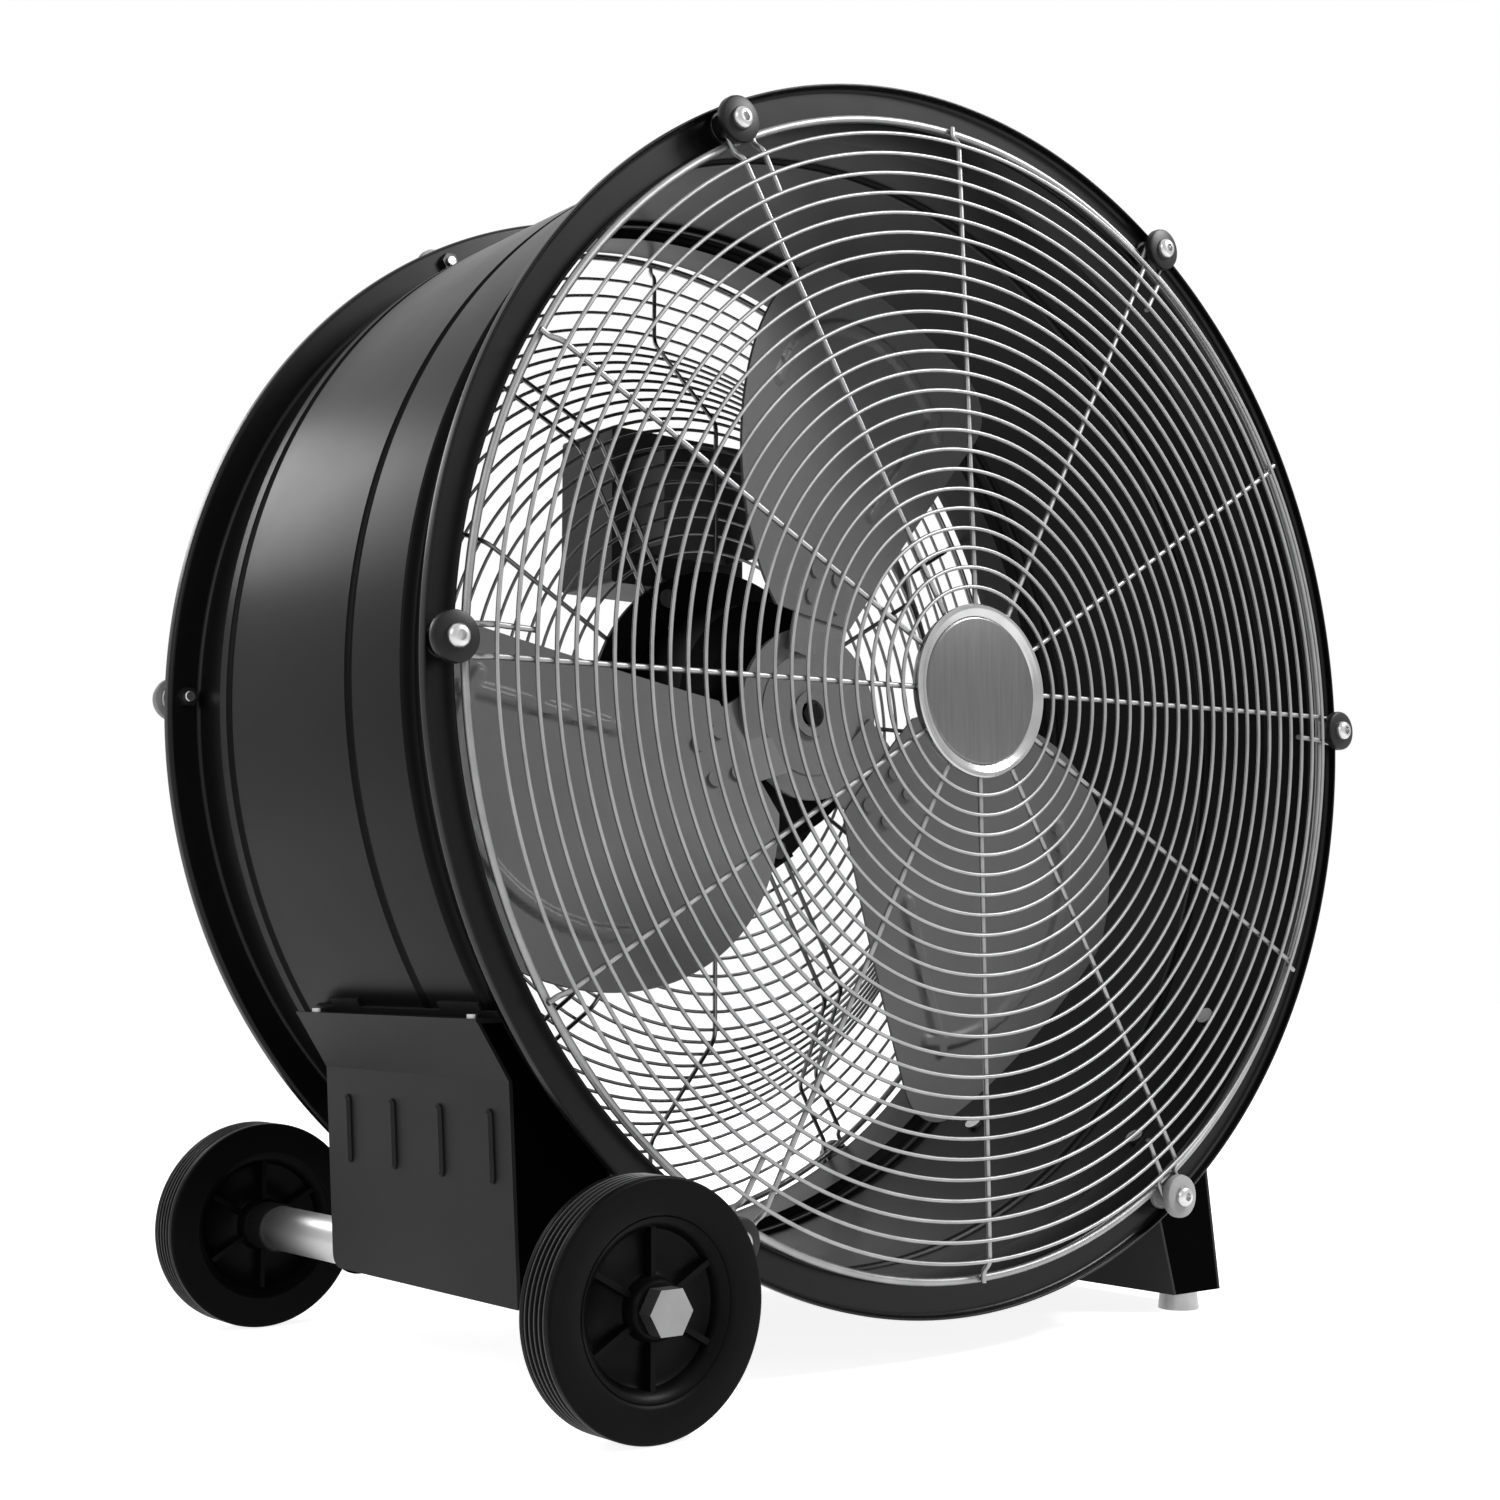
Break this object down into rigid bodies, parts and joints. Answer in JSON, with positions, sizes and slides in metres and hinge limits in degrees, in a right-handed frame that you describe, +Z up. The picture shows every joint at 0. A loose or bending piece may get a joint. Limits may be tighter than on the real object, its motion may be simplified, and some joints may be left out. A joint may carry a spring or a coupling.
{
  "type": "drum fan",
  "caption": "Wheeled floor-standing drum fan with wire grilles, turning blades, a rear control box and a two-sided sheet-metal stand.",
  "frame": {"origin": "on the floor, below the middle of the drum's axis", "axes": "+X to the right seen from the front, +Y to the back along the fan's axis, +Z up"},
  "size_m": [0.6844, 0.436, 0.702],
  "materials": {
    "drum_paint": "glossy black powder-coated sheet steel",
    "stand_paint": "satin black powder-coated sheet steel",
    "grille_wire": "zinc and chrome plated steel wire",
    "guard_wire": "plated steel wire",
    "badge_metal": "brushed metal disc with a raised edge",
    "black_plastic": "black moulded plastic",
    "grey_plastic": "grey moulded plastic",
    "zinc_steel": "zinc plated steel",
    "motor_black": "black painted metal",
    "core_steel": "stack of steel laminations",
    "box_paint": "dark grey painted sheet steel",
    "blade_aluminium": "grey satin aluminium sheet",
    "hub_steel": "grey painted steel",
    "switch_plastic": "dark moulded plastic",
    "foot_metal": "turned light metal",
    "tyre_rubber": "black solid rubber"
  },
  "bodies": {
    "frame": {"drum_housing": "drum_paint", "front_flange": "drum_paint", "rear_flange": "drum_paint", "front_grille": "grille_wire", "front_edge_ring": "grille_wire", "grille_badge": "badge_metal", "rear_guard": "guard_wire", "rear_edge_ring": "guard_wire", "front_bushes": "black_plastic", "front_bush_grey": "grey_plastic", "rear_bushes": "grey_plastic", "front_bolts": "zinc_steel", "rear_bolts": "zinc_steel", "front_nuts": "zinc_steel", "rear_nuts": "zinc_steel", "motor_housing": "motor_black", "motor_front_shield": "motor_black", "motor_rear_shield": "motor_black", "motor_bearings": "zinc_steel", "stator_core": "core_steel", "motor_mount": "motor_black", "motor_mount_bolts": "zinc_steel", "control_box": "box_paint", "control_box_cover": "box_paint", "cover_screws": "zinc_steel", "box_bracket": "motor_black", "speed_switch": "switch_plastic", "run_capacitor": "switch_plastic", "cable_gland": "black_plastic", "left_front_plate": "stand_paint", "left_rear_plate": "stand_paint", "right_front_plate": "stand_paint", "right_rear_plate": "stand_paint", "left_saddle": "stand_paint", "right_saddle": "stand_paint", "left_outer_panel": "stand_paint", "left_inner_panel": "stand_paint", "right_outer_panel": "stand_paint", "right_inner_panel": "stand_paint", "right_base": "stand_paint", "stand_screws": "zinc_steel", "flange_screws": "zinc_steel", "feet": "foot_metal", "foot_screws": "zinc_steel", "axle_tube": "zinc_steel", "axle_sleeves": "black_plastic", "axle_bolts": "zinc_steel"},
    "rotor": {"motor_shaft": "zinc_steel", "rotor_core": "core_steel", "blade_hub": "hub_steel", "blade_1": "blade_aluminium", "blade_2": "blade_aluminium", "blade_3": "blade_aluminium", "blade_rivets": "zinc_steel", "hub_bolt": "zinc_steel"},
    "front_wheel": {"front_tyre": "tyre_rubber", "front_rim": "black_plastic"},
    "rear_wheel": {"rear_tyre": "tyre_rubber", "rear_rim": "black_plastic"},
    "knob": {"speed_knob": "black_plastic"}
  },
  "joints": [
    {"name": "rotor_spin", "type": "hinge", "parent": "frame", "child": "rotor", "pos_m": [0, 0, 0.362], "axis": [0, 1, 0], "continuous": true},
    {"name": "front_wheel_spin", "type": "hinge", "parent": "frame", "child": "front_wheel", "pos_m": [-0.2514, -0.1965, 0.059], "axis": [0, 1, 0], "continuous": true},
    {"name": "rear_wheel_spin", "type": "hinge", "parent": "frame", "child": "rear_wheel", "pos_m": [-0.2514, 0.1965, 0.059], "axis": [0, 1, 0], "continuous": true},
    {"name": "speed_knob_turn", "type": "hinge", "parent": "frame", "child": "knob", "pos_m": [0.0015, 0.18, 0.507], "axis": [0, 1, 0], "range_deg": [0, 135]}
  ]
}
